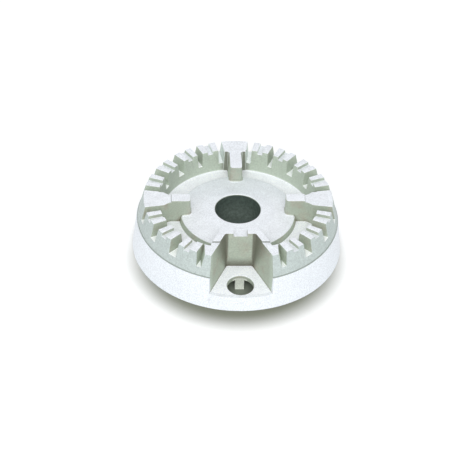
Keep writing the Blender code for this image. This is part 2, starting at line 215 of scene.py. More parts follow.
def outerSection():  # (radius, height), from the foot of the skirt over the cone to the gap floor
    foot, small = form["footRadius"], core["footRound"]
    top, ledge = form["skirtTopRadius"], form["ledgeRadius"]
    tiny, gapFloor = form["ledge"] / 3, form["gapFloor"]
    coneLoop = form["coneFoot"] + core["coneLoop"]
    points = arc((foot - small, small), small, -90, 0, 3)
    points += arc((top - tiny, form["skirtHeight"] - tiny), tiny, core["skirtLean"], 90, 3)
    points += [(ledge + tiny / 2, form["skirtHeight"]), (ledge, form["skirtHeight"] + tiny / 2)]
    points += [(ledge, form["coneFoot"]), (outerRadius(coneLoop), coneLoop)]
    return points + [(outerRadius(gapFloor), gapFloor), (innerRadius(gapFloor), gapFloor)]


def topSection():  # trough, disc and throat
    trough, disc = form["troughHeight"], core["discRadius"]
    discFoot = disc + core["discDraft"]
    bore, edge = core["throatRadius"], core["throatRound"]
    ringFillet, discFillet, discRound = core["ringFillet"], core["discFillet"], core["discRound"]
    outerLoop, innerLoop = core["troughLoops"]
    lean, slant = core["discLean"], 90 - core["discSlope"]
    points = arc((form["ringFoot"] - ringFillet, trough + ringFillet), ringFillet, core["ringLean"], -90, 6)
    points += [(form["ringFoot"] - outerLoop, trough), (discFoot + innerLoop, trough)]
    points += arc((discFoot + discFillet, trough + discFillet), discFillet, 270, 180 + lean, 4)
    points += arc((disc - discRound, core["discEdge"] - discRound), discRound, lean, slant, 4)
    for share in core["discLoops"]:
        radius = disc - discRound + (bore + edge - disc + discRound) * share
        points.append((radius, discHeight(radius)))
    points += arc((bore + edge, core["discCentre"] - edge), edge, slant, 180, 5)
    return points + [(bore, height) for height in core["throatLoops"]]


def roundedCorner(radius, height, size, start, end):  # of the section, tangent to both walls
    across = size if 180 in (start, end) else -size
    upwards = size if 270 in (start, end) else -size
    return arc((radius + across, height + upwards), size, start, end, 2)


def underSection():  # foot of the throat, underside of the web with its pockets, inside of the skirt
    small, under = core["footRound"], core["underRound"]
    bore, foot = core["throatRadius"], core["throatFoot"]
    tube = bore + core["throatWall"]
    web = form["troughHeight"] - core["webWall"]
    discPocket, discRoof = core["discRadius"] - core["discPocketInset"], core["discPocketRoof"]
    pocketOuter, ringRoof = form["ledgeRadius"] - form["skirtWall"], core["ringPocketRoof"]
    pocketInner = pocketOuter - core["ringPocketWidth"]
    skirtInside = form["footRadius"] - form["skirtWall"]
    points = roundedCorner(bore, foot, small, 180, 270) + roundedCorner(tube, foot, small, 270, 360)
    for radius, height, start, end in (
            (tube, discRoof, 180, 90), (discPocket, discRoof, 90, 0), (discPocket, web, 180, 270),
            (pocketInner, web, 270, 360), (pocketInner, ringRoof, 180, 90), (pocketOuter, ringRoof, 90, 0)):
        points += roundedCorner(radius, height, under, start, end)
    return points + [(pocketOuter, form["skirtHeight"]), (skirtInside, small), (skirtInside + small, 0.0)]


def crownSection():  # one closed line, from the foot of the skirt over the top and back underneath
    return outerSection() + topSection() + underSection()


def quarterSectors(atBack):  # what stands above the gap floor in one quarter: (start, stop, kind)
    pairs = teeth["pairs"] if atBack else teeth["pairs"][:teeth["frontPairs"]]
    sectors = [(0.0, teeth["boss"], "boss")]
    if atBack:
        sectors.append((90 - teeth["boss"], 90.0, "boss"))
    for number, centre in enumerate(pairs):
        half = teeth["tooth"] + teeth["slot"] / 2
        stop = centre + half
        if not atBack and number == len(pairs) - 1:
            stop = 90.0
        sectors.append((centre - half, centre - teeth["slot"] / 2, "first"))
        sectors.append((centre - teeth["slot"] / 2, centre + teeth["slot"] / 2, "slot"))
        sectors.append((centre + teeth["slot"] / 2, stop, "last"))
    return sectors


def draftedEdge(angle, kind, isStart):  # where a sector's edge stands at the gap floor
    leans = (kind == "boss" and angle in (teeth["boss"], 90 - teeth["boss"])) \
        or (kind == "first" and isStart) or (kind == "last" and not isStart and angle < 90)
    if not leans:
        return angle
    return angle - teeth["draft"] if isStart else angle + teeth["draft"]


def quarterStations(atBack):  # edges of the facets in one quarter
    edges = {0.0, 90.0}
    for start, stop, kind in quarterSectors(atBack):
        edges |= {draftedEdge(start, kind, True), draftedEdge(stop, kind, False)}
    ordered = sorted(edges)
    filled = []
    for low, high in zip(ordered, ordered[1:]):
        filled.append(low)
        if not atBack and high == 90.0:
            filled += [angle for angle in teeth["notchFacets"] if low < angle < high]
            continue
        count = max(1, round((high - low) / teeth["widestStep"] + teeth["extraSteps"]))
        filled += [low + (high - low) * i / count for i in range(1, count)]
    return filled + [90.0]


def ringStations():  # the same all round, in degrees from +X
    stations = set()
    for atBack in (True, False):
        for angle in quarterStations(atBack):
            turned = angle if atBack else -angle
            stations |= {round(turned % 360, 4), round((180 - turned) % 360, 4)}
    return sorted(stations)


def spunCrown():  # the section spun from station to station, so that facets end at every tooth
    bm = bmesh.new()
    points = [bm.verts.new((radius, 0.0, height)) for radius, height in crownSection()]
    edges = [bm.edges.new((points[i - 1], points[i])) for i in range(len(points))]
    stations = ringStations()
    last = points + edges
    for low, high in zip(stations, stations[1:] + [stations[0] + 360]):
        last = bmesh.ops.spin(bm, geom=last, cent=(0, 0, 0), axis=(0, 0, 1), angle=radians(high - low),
                              steps=1, use_merge=False, use_duplicate=False)["geom_last"]
    bmesh.ops.remove_doubles(bm, verts=bm.verts, dist=form["weld"])
    bmesh.ops.recalc_face_normals(bm, faces=bm.faces)
    return bm


def quarterAngle(place):  # degrees from the nearest side boss, from 0 to 90
    return degrees(atan2(abs(place.y), abs(place.x)))


def sectorOf(face, height):  # kind of sector that a level face of the ring lies in
    centre = face.calc_center_median()
    inner, outer = innerRadius(height) - form["past"], outerRadius(height) + form["past"]
    if face.normal.z < teeth["levelFace"] or abs(centre.z - height) > form["same"]:
        return None
    if not inner < hypot(centre.x, centre.y) < outer:
        return None
    angle, close = quarterAngle(centre), teeth["closeAngle"]
    for start, stop, kind in quarterSectors(centre.y > 0):
        if draftedEdge(start, kind, True) - close < angle < draftedEdge(stop, kind, False) + close:
            return kind
    return None


def leanAt(angle, y):  # a leaning edge moves back over its own tooth as it rises
    for start, stop, kind in quarterSectors(y > 0):
        for edge, isStart in ((start, True), (stop, False)):
            foot = draftedEdge(edge, kind, isStart)
            if foot != edge and abs(angle - foot) < teeth["draft"] + teeth["closeAngle"]:
                return edge - foot
    return 0.0


def raiseSectors(bm, kinds, low, high):
    rise = (high - low) / (form["seatHeight"] - form["gapFloor"])
    chosen = [face for face in bm.faces if sectorOf(face, low) in kinds]
    raised = bmesh.ops.extrude_face_region(bm, geom=chosen)["geom"]
    bmesh.ops.delete(bm, geom=chosen, context="FACES")
    for vert in (item for item in raised if isinstance(item, bmesh.types.BMVert)):
        radius, angle = hypot(vert.co.x, vert.co.y), quarterAngle(vert.co)
        outside = radius > (innerRadius(low) + outerRadius(low)) / 2
        radius = outerRadius(high) if outside else innerRadius(high)
        angle += leanAt(angle, vert.co.y) * rise
        x, y = polar(radius, angle)
        vert.co = (x if vert.co.x > 0 else -x, y if vert.co.y > 0 else -y, high)


def joinsBlock(place):  # inner edges of the ring that a boss or the notch wall runs into
    radius, angle = hypot(place.x, place.y), quarterAngle(place)
    if radius > (innerRadius(place.z) + outerRadius(place.z)) / 2:
        return False
    sector = teeth["boss"] + teeth["besideBlock"]
    return angle < sector or (place.y > 0 and angle > 90 - sector) \
        or (place.y < 0 and angle > teeth["notchSector"])


def roundRing(bm):
    chosen = []
    for edge in bm.edges:
        if min(vert.co.z for vert in edge.verts) < form["gapFloor"] - form["same"]:
            continue
        middle = (edge.verts[0].co + edge.verts[1].co) / 2
        if edge.calc_face_angle() > radians(form["sharpAngle"]) and not joinsBlock(middle):
            chosen.append(edge)
    roundEdges(bm, chosen, teeth["edgeRound"])


# Bosses: two with sweeping shoulders at the sides, one T-shaped at the back
bosses = {
    "neck": 0.0022,              # half width at the head
    "headOuter": 0.0247,
    "headLength": 0.0070,
    "headCorner": 0.0010,
    "draft": 0.041,              # growth towards the foot, for each unit of height
    "overlap": 0.0006,
    "castExtra": 0.0004,
    "clearOfGap": 0.00012,
    "discFoot": 0.0010,          # fillet where a boss stands on the disc
    "troughFoot": 0.0003,
    "tProud": 0.0002,
    "tCorner": 0.0008,
    "rootDepth": 0.0010,
    "sink": 0.0006,              # how deep a block stands in the casting
    "footTurns": (78, 60, 42, 24, 8),    # layers of the fillets, in degrees
    "shoulderSteps": 10,
    "tLeast": 0.00015,           # the T's inner corners are never sharper than this
    "tEndRound": 0.0003,
    "edgeRound": 0.00025,
    "sharpAngle": 30.0,          # edges sharper than this are rounded
    "nearTop": 0.0002,
    "flush": 0.000005,           # how far the tops stay below the seat
    "same": 0.000001,
}


def groundAt(radius):  # height of the disc or the trough, and the fillet that stands on it
    inside, outside = core["discRadius"] - core["discRound"], core["discRadius"] + core["discDraft"]
    share = min(1.0, max(0.0, (radius - inside) / (outside - inside)))
    height = discHeight(min(radius, inside)) * (1 - share) + form["troughHeight"] * share
    return height, bosses["discFoot"] * (1 - share) + bosses["troughFoot"] * share


def flaredLayers(outline, top):  # layers of a block with fillets at its foot, sunk into the casting
    layers = []
    for turned in bosses["footTurns"]:
        layer = []
        for number, (x, y) in enumerate(outline(0.0)):
            ground, fillet = groundAt(hypot(x, y))
            height = ground + fillet * (1 - sin(radians(turned)))
            grown = fillet * (1 - cos(radians(turned))) + bosses["draft"] * (form["castingTop"] - height)
            layer.append((*outline(grown)[number], height))
        layers.append(layer)
    grown = bosses["draft"] * (form["castingTop"] - top)
    sunk = [(x, y, z - bosses["sink"]) for x, y, z in layers[0]]
    return [sunk] + layers + [[(x, y, top) for x, y in outline(grown)]]


def pastDiscEdge():  # radii where a foot steps down from the disc to the trough
    return [core["discRadius"] + beyond for beyond in core["edgeLoops"]]


def ringWidth(radius):
    return radius * tan(radians(teeth["boss"])) - bosses["clearOfGap"]


def headEnd(grown):
    inner = bosses["headOuter"] - bosses["headLength"]
    corner = bosses["headCorner"]
    return arc((inner + corner, bosses["neck"] - corner), corner + grown, 180, 90, 5)


def bossRoot(grown):
    root = form["seatInner"] + bosses["rootDepth"]
    return (root, ringWidth(root) + grown)


def bothSides(side):  # closes one side of a boss with its mirror image
    return side + [(x, -y) for x, y in reversed(side)]


def sideBoss(grown):  # drawn along +X, as the next one
    wide = form["ringFoot"] + bosses["overlap"]
    growth = wide * tan(radians(teeth["boss"])) + bosses["castExtra"] - bosses["neck"]
    side = headEnd(grown) + [(radius, bosses["neck"] + grown) for radius in pastDiscEdge()]
    steps = bosses["shoulderSteps"]
    for step in range(steps + 1):
        radius = bosses["headOuter"] + (wide - bosses["headOuter"]) * step / steps
        half = bosses["neck"] + growth * (1 - cos(pi * step / steps)) / 2
        side.append((radius, min(half, ringWidth(radius)) + grown))
    return bothSides(side + [bossRoot(grown)])


def backBoss(grown):
    bar = form["ringFoot"] - bosses["tProud"] - grown
    corner = max(bosses["tLeast"], bosses["tCorner"] - grown)
    endRound = bosses["tEndRound"]
    neck = bosses["neck"] + grown
    side = headEnd(grown) + [(radius, neck) for radius in pastDiscEdge() + [bosses["headOuter"]]]
    side += arc((bar - corner, neck + corner), corner, 270, 360, 4)
    end = ringWidth(form["ringFoot"]) + grown
    side += arc((bar + endRound, end - endRound), endRound, 180, 90, 3)
    return bothSides(side + [bossRoot(grown)])


def raiseHead(bm, top, ends, fromAxis):  # splits the top between two corners and raises the inner part
    outer = bmesh.utils.face_split(top, ends[0], ends[-1])[0]
    head = min((top, outer), key=lambda face: fromAxis(face.calc_center_median()))
    head = bmesh.ops.extrude_discrete_faces(bm, faces=[head])["faces"][0]
    for vert in head.verts:
        vert.co.z = form["castingTop"]
    bmesh.ops.recalc_face_normals(bm, faces=bm.faces)
    edges = [edge for edge in bm.edges if edge.calc_face_angle() > radians(bosses["sharpAngle"])
             and min(vert.co.z for vert in edge.verts) > form["seatHeight"] - bosses["nearTop"]]
    roundEdges(bm, edges, bosses["edgeRound"])


def bossBlock(outline, angle):
    bm, top = stackedBlock(flaredLayers(outline, form["seatHeight"] - bosses["flush"]))
    ends = [vert for vert in top.verts if abs(vert.co.x - bosses["headOuter"]) < bosses["same"]]
    raiseHead(bm, top, ends, lambda centre: centre.x)
    bmesh.ops.rotate(bm, verts=bm.verts, cent=(0, 0, 0), matrix=Matrix.Rotation(radians(angle), 3, "Z"))
    return pieceFrom(bm, "boss")


# Notch for the spark electrode, its wall, the slot through the wall, and the hole in its floor
notch = {
    "back": 0.0213,
    "backHalf": 0.0047,
    "sideAngle": 25.0,
    "draft": 3.5,
    "corner": 0.0010,
    "floorBack": 0.0071,
    "floorFall": 0.072,
    "floorWall": 0.0018,
    "floorFillet": 0.00015,
    "sideWall": 0.0026,
    "backWall": 0.0043,
    "wallCorner": 0.0030,
    "stepRadius": 0.0278,
    "tooth": 0.0022,
    "toothLean": 14.0,
    "slotHalf": 0.0026,
    "slotDepth": 0.0013,
    "slotFlare": 0.0013,
    "holeRadius": 0.0049,
    "holeCentre": 0.03147,
    "holeEdge": 0.0004,
    "ribHalf": 0.00165,
    "ribLength": 0.0060,
    "ribFoot": 0.0002,
    "ribFront": 0.0002,          # how far the rib stands clear of the hole
    "wallFacets": 6,
    "onStep": 0.00005,           # how close to the step's radius its corners lie
    "filletTurns": (90, 66, 44, 22, 0),      # layers of the floor's fillet, in degrees
    "boxGrowth": (0.0004, 0.0003, -0.0003),  # of the walls below the web, from the floor up
    "boxHeights": (0.0100, 0.0142),
    "boxTuck": 0.0006,           # how much further in they end at their top
    "holeDepth": 0.003,
    "holeEdgeRise": 0.3,
    "holeSteps": 64,
    "edgeRound": 0.00022,
    "sharpAngle": 40.0,
    "roundBefore": -0.0150,      # edges are rounded only in front of this, within this and above this
    "roundWithin": 0.0175,
    "roundAbove": 0.0050,
}
slope = tan(radians(notch["sideAngle"]))    # how much the notch widens, for each unit outwards
slantCos = cos(radians(notch["sideAngle"]))


def notchFloor(y):
    return notch["floorBack"] + (y + notch["back"]) * notch["floorFall"]


def notchHalf(distance, height):
    draft = (height - notch["floorBack"]) * tan(radians(notch["draft"]))
    return notch["backHalf"] + draft + (distance - notch["back"]) * slope


def slantedCorner(half, back, radius, steps):
    slant = radians(notch["sideAngle"])
    inset = radius * (1 - sin(slant)) / cos(slant)
    return arc((half - inset, -back - radius), radius, 90, notch["sideAngle"], steps)


def meetingAngle(offset, reach):  # degrees from -Y where a slanted side leaves a circle
    square = 1 + slope * slope
    distance = ((square * reach * reach - offset * offset) ** 0.5 - offset * slope) / square
    return degrees(acos(distance / reach))


def notchOutline(height, inset):
    reach = form["footRadius"] + form["past"]
    back = notch["back"] + inset
    side = slantedCorner(notchHalf(back, height) - inset / slantCos, back, notch["corner"] - inset, 4)
    side.append((notchHalf(reach, height) - inset / slantCos, -reach))
    return mirrored(side)


def notchCutter():
    size = notch["floorFillet"]
    layers = []
    for turned in notch["filletTurns"]:
        inset = size * (1 - cos(radians(turned)))
        rise = size * (1 - sin(radians(turned)))
        outline = notchOutline(notch["floorBack"] + rise, inset)
        layers.append([(x, y, notchFloor(y) + rise) for x, y in outline])
    top = form["castingTop"] + form["past"]
    layers.append([(x, y, top) for x, y in notchOutline(top, 0.0)])
    return pieceFrom(stackedBlock(layers)[0], "notchCutter")


def wallSide(grown):  # back corner of the wall and the offset of its slanted side
    back = notch["back"] - notch["backWall"] - grown
    half = notchHalf(back, form["castingTop"]) + (notch["sideWall"] + grown) / slantCos
    return slantedCorner(half, back, notch["wallCorner"], 8), half - back * slope


def onCircle(radius, angle):  # degrees from -Y
    return radius * sin(radians(angle)), -radius * cos(radians(angle))


def wallOutline(grown, reach, middle=()):
    side, offset = wallSide(grown)
    side += [onCircle(radius, meetingAngle(offset, radius)) for radius in middle]
    widest = meetingAngle(offset, reach)
    facets = notch["wallFacets"]
    side += [onCircle(reach, widest * (1 - step / facets)) for step in range(facets)]
    return mirrored(side)


def upperWall(grown):
    return wallOutline(grown, form["seatInner"] + bosses["rootDepth"], pastDiscEdge() + [notch["stepRadius"]])


def notchWall():
    bm, top = stackedBlock(flaredLayers(upperWall, form["seatHeight"] - bosses["flush"]))
    ends = [vert for vert in top.verts
            if abs(hypot(vert.co.x, vert.co.y) - notch["stepRadius"]) < notch["onStep"]]
    raiseHead(bm, top, ends, lambda centre: -centre.y)
    return pieceFrom(bm, "notchWall")


def notchBox():  # walls and floor of the notch below the web
    reach = form["skirtTopRadius"] - form["skirtWall"] / 2
    atFloor, atMiddle, atTop = notch["boxGrowth"]
    middleHeight, topHeight = notch["boxHeights"]
    lower = [(x, y, notchFloor(y) - notch["floorWall"]) for x, y in wallOutline(atFloor, reach)]
    middle = [(x, y, middleHeight) for x, y in wallOutline(atMiddle, reach)]
    upper = [(x, y, topHeight) for x, y in wallOutline(atTop, reach - notch["boxTuck"])]
    return pieceFrom(stackedBlock([lower, middle, upper])[0], "notchBox")


def gapOutline(side, height):  # the wedge-shaped gap between the last tooth and the notch
    depth = form["seatHeight"] - height
    angle = teeth["pairs"][teeth["frontPairs"] - 1] + teeth["slot"] / 2 + teeth["tooth"] + teeth["lastExtra"]
    angle += teeth["lastDraft"] * depth / (form["seatHeight"] - form["gapFloor"])
    half = notchHalf(0.0, form["seatHeight"])
    half = onCircle(form["seatOuter"], meetingAngle(half, form["seatOuter"]))[0] + notch["tooth"]
    half += depth * tan(radians(notch["toothLean"]))
    reach = form["footRadius"] + form["past"]
    along, down = polar(reach, angle)
    outline = [(half, -half * tan(radians(angle))), (half, -((reach * reach - half * half) ** 0.5)),
               (along, -down)]
    return [(side * x, y, height) for x, y in outline[::side]]


def gapCutter(side):
    heights = (form["gapFloor"] + form["same"], form["castingTop"] + form["past"])
    return pieceFrom(stackedBlock([gapOutline(side, height) for height in heights])[0], "gapCutter")


def slotCutter():
    opening = -(notch["back"] - notch["backWall"])
    flare = notch["slotFlare"]
    side = [(notch["slotHalf"] + flare, opening + form["past"])]
    side += arc((notch["slotHalf"] + flare, opening - flare), flare, 90, 180, 6)
    side.append((notch["slotHalf"], -notch["back"] - form["past"]))
    low, high = form["castingTop"] - notch["slotDepth"], form["castingTop"] + form["past"]
    return uprightBlock(mirrored(side), low, high, "slotCutter")


def holeCutter():
    mouth = notchFloor(-notch["holeCentre"])
    radius, edge, below = notch["holeRadius"], notch["holeEdge"], mouth - notch["holeDepth"]
    rise = notch["holeEdgeRise"] * edge
    section = [(0.0, below), (radius, below), (radius, mouth - edge), (radius + rise, mouth - rise),
               (radius + edge, mouth), (radius + 2 * edge, mouth + rise), (0.0, mouth + rise)]
    bm = bmesh.new()
    points = [bm.verts.new((r, 0.0, z)) for r, z in section]
    edges = [bm.edges.new((points[i - 1], points[i])) for i in range(1, len(points))]
    bmesh.ops.spin(bm, geom=points + edges, cent=(0, 0, 0), axis=(0, 0, 1), angle=2 * pi,
                   steps=notch["holeSteps"], use_merge=True, use_duplicate=False)
    bmesh.ops.remove_doubles(bm, verts=bm.verts, dist=form["weld"])
    for vert in bm.verts:
        vert.co.z += vert.co.y * notch["floorFall"]
        vert.co.y -= notch["holeCentre"]
    return pieceFrom(bm, "holeCutter")


def locatingRib():
    front = notch["holeRadius"] + notch["ribFront"] - notch["holeCentre"]
    back = front + notch["ribLength"]
    half = notch["ribHalf"]
    outline = [(half, back), (half, front), (-half, front), (-half, back)]
    top = notchFloor(front) - notch["floorWall"] / 2
    return uprightBlock(outline, notch["ribFoot"], top, "rib")


def roundNotch(crown):
    bm = bmesh.new()
    bm.from_mesh(crown.data)
    bmesh.ops.remove_doubles(bm, verts=bm.verts, dist=form["weld"])
    chosen = []
    for edge in bm.edges:
        middle = (edge.verts[0].co + edge.verts[1].co) / 2
        if middle.y > notch["roundBefore"] or abs(middle.x) > notch["roundWithin"]:
            continue
        if middle.z < notch["roundAbove"] or len(edge.link_faces) != 2:
            continue
        if edge.calc_face_angle() > radians(notch["sharpAngle"]):
            chosen.append(edge)
    print("notch edges:", len(chosen))
    roundEdges(bm, chosen, notch["edgeRound"])
    bm.to_mesh(crown.data)
    bm.free()


def buildCrown():
    bm = spunCrown()
    raiseSectors(bm, ("boss", "first", "slot", "last"), form["gapFloor"], form["slotFloor"])
    raiseSectors(bm, ("boss", "first", "last"), form["slotFloor"], form["seatHeight"])
    bmesh.ops.recalc_face_normals(bm, faces=bm.faces)
    roundRing(bm)
    crown = pieceFrom(bm, "crown")
    print("ring:", len(crown.data.polygons), "faces")
    blocks = [bossBlock(sideBoss, 0), bossBlock(sideBoss, 180), bossBlock(backBoss, 90)]
    for block in blocks + [notchBox(), notchWall()]:
        combine(crown, block, "UNION")
    print("with bosses:", len(crown.data.polygons), "faces")
    for cutter in (gapCutter(1), gapCutter(-1), notchCutter(), slotCutter()):
        combine(crown, cutter, "DIFFERENCE")
    roundNotch(crown)
    combine(crown, holeCutter(), "DIFFERENCE")
    combine(crown, locatingRib(), "UNION")
    print("with notch:", len(crown.data.polygons), "faces")
    return crown


crown = buildCrown()
crown.data.shade_smooth()
crown.data.set_sharp_from_angle(angle=radians(form["sharpAngle"]))
flats = crown.modifiers.new("flats", "WEIGHTED_NORMAL")
flats.keep_sharp = True
flats.weight = 100
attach(crown, "root")
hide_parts("burner_crown")


# Node helpers
def addNode(tree, kind, inputs=(), **settings):
    made = tree.nodes.new(kind)
    for name, value in settings.items():
        setattr(made, name, value)
    for key, value in inputs:
        if isinstance(value, bpy.types.NodeSocket):
            tree.links.new(value, made.inputs[key])
        else:
            made.inputs[key].default_value = value
    return made


def compute(tree, operation, *values):
    return addNode(tree, "ShaderNodeMath", enumerate(values), operation=operation).outputs[0]


def times(tree, first, *others):
    for other in others:
        first = compute(tree, "MULTIPLY", first, other)
    return first


def without(tree, share):
    return compute(tree, "SUBTRACT", 1.0, share)


def split(tree, vector):
    return addNode(tree, "ShaderNodeSeparateXYZ", ((0, vector),)).outputs


def between(tree, value, low, high, toLow=0.0, toHigh=1.0):  # soft step from low to high
    ends = ((0, value), (1, low), (2, high), (3, toLow), (4, toHigh))
    return addNode(tree, "ShaderNodeMapRange", ends, interpolation_type="SMOOTHSTEP").outputs[0]


def blended(tree, share, first, second, how="MIX"):
    ends = ((0, share), (6, first), (7, second))
    return addNode(tree, "ShaderNodeMix", ends, data_type="RGBA", blend_type=how).outputs[2]


def tinted(tree, colour, tint, share=1.0):  # a colour multiplied by another one
    return blended(tree, share, colour, tint, "MULTIPLY")


def scaled(tree, colour, value):  # a colour multiplied by one number
    grey = addNode(tree, "ShaderNodeCombineColor", ((0, value), (1, value), (2, value))).outputs[0]
    return tinted(tree, colour, grey)


def noise(tree, place, scale, detail, roughness):
    ends = (("Vector", place), ("Scale", scale), ("Detail", detail), ("Roughness", roughness))
    return addNode(tree, "ShaderNodeTexNoise", ends).outputs["Fac"]


# Cast aluminium: blasted pale faces above, darker as-cast walls, a mottled cone outside
alloy = {
    "pale": (0.83, 0.862, 0.905, 1.0),       # tops and disc
    "dull": (0.93, 0.955, 0.945, 1.0),       # painted shade: what the back of the disc is multiplied by
    "low": (0.93, 0.955, 1.0, 1.0),          # painted light: trough and floor of the notch, paler than the tops
    "skirt": (0.825, 0.86, 0.90, 1.0),
    "cast": (0.485, 0.54, 0.455, 1.0),       # walls that no tool has touched
    "film": (0.475, 0.468, 0.392, 1.0),      # warm film that heat leaves on them in places
    "heat": (0.41, 0.38, 0.355, 1.0),        # painted shade: what the notch's back corners, the foot of its back wall and the side of the T's stem are multiplied by
    "heatEdge": (1.0, 0.1),                  # how softly the painted shade ends
    "heatAtFoot": 0.95,                      # its share at the foot of the notch's back wall
    "heatByStem": 0.8,                       # and beside the T's stem
    "ringInside": (0.547, 0.614, 0.53, 1.0),
    "cone": (0.54, 0.605, 0.59, 1.0),
    "gap": (0.96, 1.0, 1.0, 1.0),            # painted light: floors between the teeth, made the brightest faces
    "flank": (0.77, 0.83, 0.80, 1.0),        # ends of the T's bar
    # painted shade: dark line at the ledge above the skirt and on the step in the notch's wall
    "ledge": (0.325, 0.375, 0.345, 1.0),
    # painted light: the rib below the hole, pale as if lit through it
    "rib": (0.85, 0.885, 0.81, 1.0),
    "soot": (0.20, 0.25, 0.222, 1.0),        # painted shade inside the throat
    # painted shade, darkest near the top of the throat
    "sootTop": (0.098, 0.135, 0.117, 1.0),
    "crease": (0.40, 0.345, 0.29, 1.0),      # painted shade: what inside corners are multiplied by
    "creaseReach": 0.0021,
    "creaseOnPale": 0.08,
    "creaseOnDisc": 0.30,
    "creaseInGaps": 0.20,
    "rimReach": 0.0005,
    "rim": 0.10,                             # painted highlight: how much lighter the edges are
    "hollowRange": (0.90, 0.35),             # openness of a face, from plain to deep in a corner
    "hollowSamples": 8,
    "metallic": 0.45,
    "metallicLow": 0.08,                     # of the low floors
    "roughness": 0.58,
    "wallRoughness": 0.66,
    "grain": (2600.0, 2.0, 0.6),             # noises: how many in a metre, detail, roughness
    "mottle": (240.0, 4.0, 0.6),
    "blotch": (850.0, 3.0, 0.65),
    "drift": (45.0, 2.0, 0.5),
    "streaks": (1.0, 1.0, 0.55),             # stretched by the scratch size
    "grainDepth": 0.00004,
    "grainStrength": 0.5,
    "scratchTurn": 25.0,
    "scratchSize": (60.0, 2400.0, 60.0),
    "scratch": 0.12,
    "notchSlope": 0.43,                      # of the line that parts the notch from the ring
}
coneLean = form["coneWidth"] / (form["seatHeight"] - form["coneFoot"])
coneLine = form["ledgeRadius"] + form["coneFoot"] * coneLean

# Zones of the look: what is read, where the zone begins, where it is full, and the results if not 0 and 1
zones = {
    "facesUp": ("up", 0.45, 0.85),
    "castFilm": ("mottle", 0.45, 0.75),
    "notch": ("ahead", -0.0003, 0.0),                # painted shade in the notch
    "notchWidth": ("aside", 0.0135, 0.0125),
    "notchCorner": ("aside", notch["backHalf"] - 0.0006, notch["backHalf"] + 0.0001),
    "cornerReach": ("z", notch["floorBack"], form["castingTop"], 0.0030, 0.0115),
    "backWallFoot": ("z", 0.0118, 0.0078),
    "nearBackWall": ("ahead", 0.0012, 0.0006),
    "barWall": ("y", 0.0262, 0.0268),                # and beside the T's stem
    "nearStem": ("aside", 0.0060, 0.0038),
    "sideways": ("turning", 0.009, 0.016),           # faces that look along the ring
    "flankRing": ("radius", 0.0272, 0.0278),
    "notchFlankInner": ("aside", 0.0100, 0.0108),
    "notchFlankOuter": ("aside", 0.0162, 0.0158),
    "notchFlankFront": ("y", -0.0275, -0.0280),
    "backFlanks": ("y", -0.002, 0.004, 0.0, 0.7),
    "barEnd": ("aside", 0.0105, 0.0098),
    "barBack": ("y", 0.0278, 0.0284),
    "stepFoot": ("z", form["seatHeight"], form["seatHeight"] + 0.0001),  # step in the notch's wall
    "stepInner": ("radius", 0.0242, 0.0244),
    "stepOuter": ("radius", 0.0284, 0.0282),
    "stepFront": ("outwards", 0.014, 0.019),
    "inwards": ("outwards", -0.008, -0.018),         # inside of the ring
    "insideWall": ("radius", 0.0270, 0.0280),
    # painted shade: the inside of the ring darker towards the left
    "insideLeft": ("x", -0.012, -0.026, 1.0, 0.82),
    "cone": ("coneAt", coneLine - 0.00035, coneLine - 0.0001),
    "aboveLedge": ("z", form["coneFoot"] - 0.00005, form["coneFoot"] + 0.00005),
    "coneMottle": ("blotch", 0.3, 0.7, 0.93, 1.05),
    "lowFloors": ("z", form["troughHeight"] + 0.0012, form["troughHeight"] + 0.0004),
    "gapFloors": ("z", form["gapFloor"] + 0.0003, form["gapFloor"] + 0.0001),
    "gapRing": ("radius", 0.0270, 0.0274),
    "disc": ("radius", core["discRadius"] + 0.0002, core["discRadius"]),
    "belowHeads": ("z", 0.0180, 0.0175),
    "discBack": ("y", 0.0, 0.0140),
    "levelMottle": ("mottle", 0.3, 0.7, 0.96, 1.03),
    "skirt": ("z", form["skirtHeight"] + 0.00012, form["skirtHeight"] - 0.00005),
    "skirtFace": ("radius", form["ledgeRadius"] - 0.0004, form["ledgeRadius"] - 0.0002),
    "ledgeFoot": ("z", form["skirtHeight"] - 0.00004, form["skirtHeight"] + 0.00002),
    "ledgeTop": ("z", form["coneFoot"] + 0.00002, form["coneFoot"] - 0.00004),
    "ledgeFace": ("radius", form["ledgeRadius"] - 0.0005, form["ledgeRadius"] - 0.0003),
    "ribTop": ("z", 0.0060, 0.0054),
    "ribSides": ("aside", 0.0030, 0.0025),
    "ribFront": ("y", -0.0275, -0.0272),
    "ribBack": ("y", -0.0190, -0.0195),
    "bore": ("radius", core["throatRadius"] + 0.0006, core["throatRadius"] + 0.0001),
    "belowMouth": ("z", core["discCentre"] - 0.0001, core["discCentre"] - 0.0005),
    "sootDepth": ("z", 0.0160, 0.0060),
    "sootMottle": ("blotch", 0.3, 0.7, 0.8, 1.2),
    "grainShade": ("grain", 0.3, 0.7, 0.88, 1.12),   # grain, scratches and painted shade in corners
    "scratchLines": ("streaks", 0.66, 0.72),
    "scratched": ("mottle", 0.5, 0.6),
    "besideNotch": ("pastNotchLine", -0.0002, 0.0002),
    "ringWalls": ("radius", 0.0262, 0.0272),
    "roughDrift": ("drift", 0.3, 0.7, -0.04, 0.04),
    "roughGrain": ("grain", 0.3, 0.7, -0.03, 0.05),
}


def inZone(tree, at, *names):  # product of the named zones
    return times(tree, *[between(tree, at[zones[name][0]], *zones[name][1:]) for name in names])


